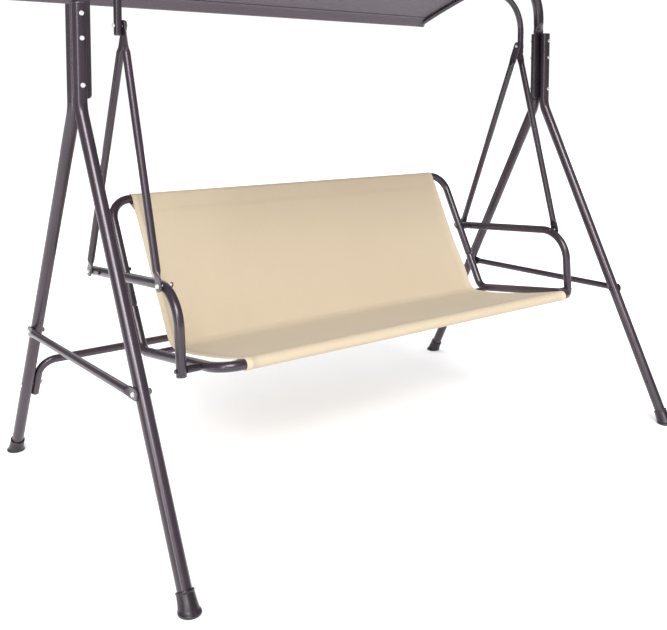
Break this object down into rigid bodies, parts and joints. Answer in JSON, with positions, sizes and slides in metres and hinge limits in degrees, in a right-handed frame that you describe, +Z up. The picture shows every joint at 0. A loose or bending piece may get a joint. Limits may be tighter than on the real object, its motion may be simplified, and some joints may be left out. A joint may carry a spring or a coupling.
{
  "type": "canopy swing bench",
  "caption": "Garden swing bench: an A-frame of bent tubes carries a hanging sling seat with armrests, under a tilting cloth canopy.",
  "frame": {"origin": "on the floor under the middle of the bench", "axes": "+Z up, the sitter faces -Y, +X to the right of someone who looks along +Y"},
  "size_m": [1.7554, 1.2753, 1.5892],
  "materials": {
    "frame_paint": "satin plum-grey powder coat",
    "zinc": "zinc plated",
    "plastic": "dark moulded plastic",
    "sling_cloth": "beige woven mesh cloth",
    "canopy_cloth": "taupe woven cloth"
  },
  "bodies": {
    "frame": {"front_leg_left": "frame_paint", "front_leg_right": "frame_paint", "rear_leg_left": "frame_paint", "rear_leg_right": "frame_paint", "foot_cap_front_left": "plastic", "foot_cap_front_right": "plastic", "foot_cap_rear_left": "plastic", "foot_cap_rear_right": "plastic", "side_brace_left": "frame_paint", "side_brace_right": "frame_paint", "beam_end_left": "frame_paint", "beam_end_right": "frame_paint", "beam_saddle_left": "frame_paint", "beam_saddle_right": "frame_paint", "leg_bolt_low_left": "zinc", "leg_bolt_low_right": "zinc", "leg_bolt_middle_left": "zinc", "leg_bolt_middle_right": "zinc", "leg_bolt_top_left": "zinc", "leg_bolt_top_right": "zinc", "brace_bolt_front_left": "zinc", "brace_bolt_front_right": "zinc", "brace_bolt_rear_left": "zinc", "brace_bolt_rear_right": "zinc", "stretcher_bolt_left": "zinc", "stretcher_bolt_right": "zinc", "beam_joint_bolt_left": "zinc", "beam_joint_bolt_right": "zinc", "pivot_bolt_left": "zinc", "pivot_bolt_right": "zinc", "rear_stretcher": "frame_paint", "beam_centre": "frame_paint", "hanger_bar": "frame_paint"},
    "swing": {"hanger_rod_front_left": "frame_paint", "hanger_rod_front_right": "frame_paint", "hanger_rod_rear_left": "frame_paint", "hanger_rod_rear_right": "frame_paint", "armrest_left": "frame_paint", "armrest_right": "frame_paint", "rod_bolt_rear_left": "zinc", "rod_bolt_rear_right": "zinc", "rod_bolt_front_left": "zinc", "rod_bolt_front_right": "zinc", "arm_bolt_left": "zinc", "arm_bolt_right": "zinc", "post_bolt_left": "zinc", "post_bolt_right": "zinc", "seat_frame": "frame_paint", "back_frame": "frame_paint", "seat_cross_rail": "frame_paint", "seat_sling": "sling_cloth"},
    "canopy": {"canopy_arm_left": "frame_paint", "canopy_arm_right": "frame_paint", "canopy_rod_front": "frame_paint", "canopy_rod_middle": "frame_paint", "canopy_rod_rear": "frame_paint", "canopy_cloth": "canopy_cloth"},
    "knob_left": {"tilt_knob_left": "plastic"},
    "knob_right": {"tilt_knob_right": "plastic"}
  },
  "joints": [
    {"name": "swing_pivot", "type": "hinge", "parent": "frame", "child": "swing", "pos_m": [0, 0, 1.208], "axis": [1, 0, 0], "range_deg": [-22, 22]},
    {"name": "canopy_tilt", "type": "hinge", "parent": "frame", "child": "canopy", "pos_m": [0, 0, 1.495], "axis": [-1, 0, 0], "range_deg": [-12, 18]},
    {"name": "knob_left_turn", "type": "hinge", "parent": "frame", "child": "knob_left", "pos_m": [-0.45, -0.035, 1.495], "axis": [0, -1, 0], "range_deg": [0, 180]},
    {"name": "knob_right_turn", "type": "hinge", "parent": "frame", "child": "knob_right", "pos_m": [0.45, -0.035, 1.495], "axis": [0, -1, 0], "range_deg": [0, 180]}
  ]
}
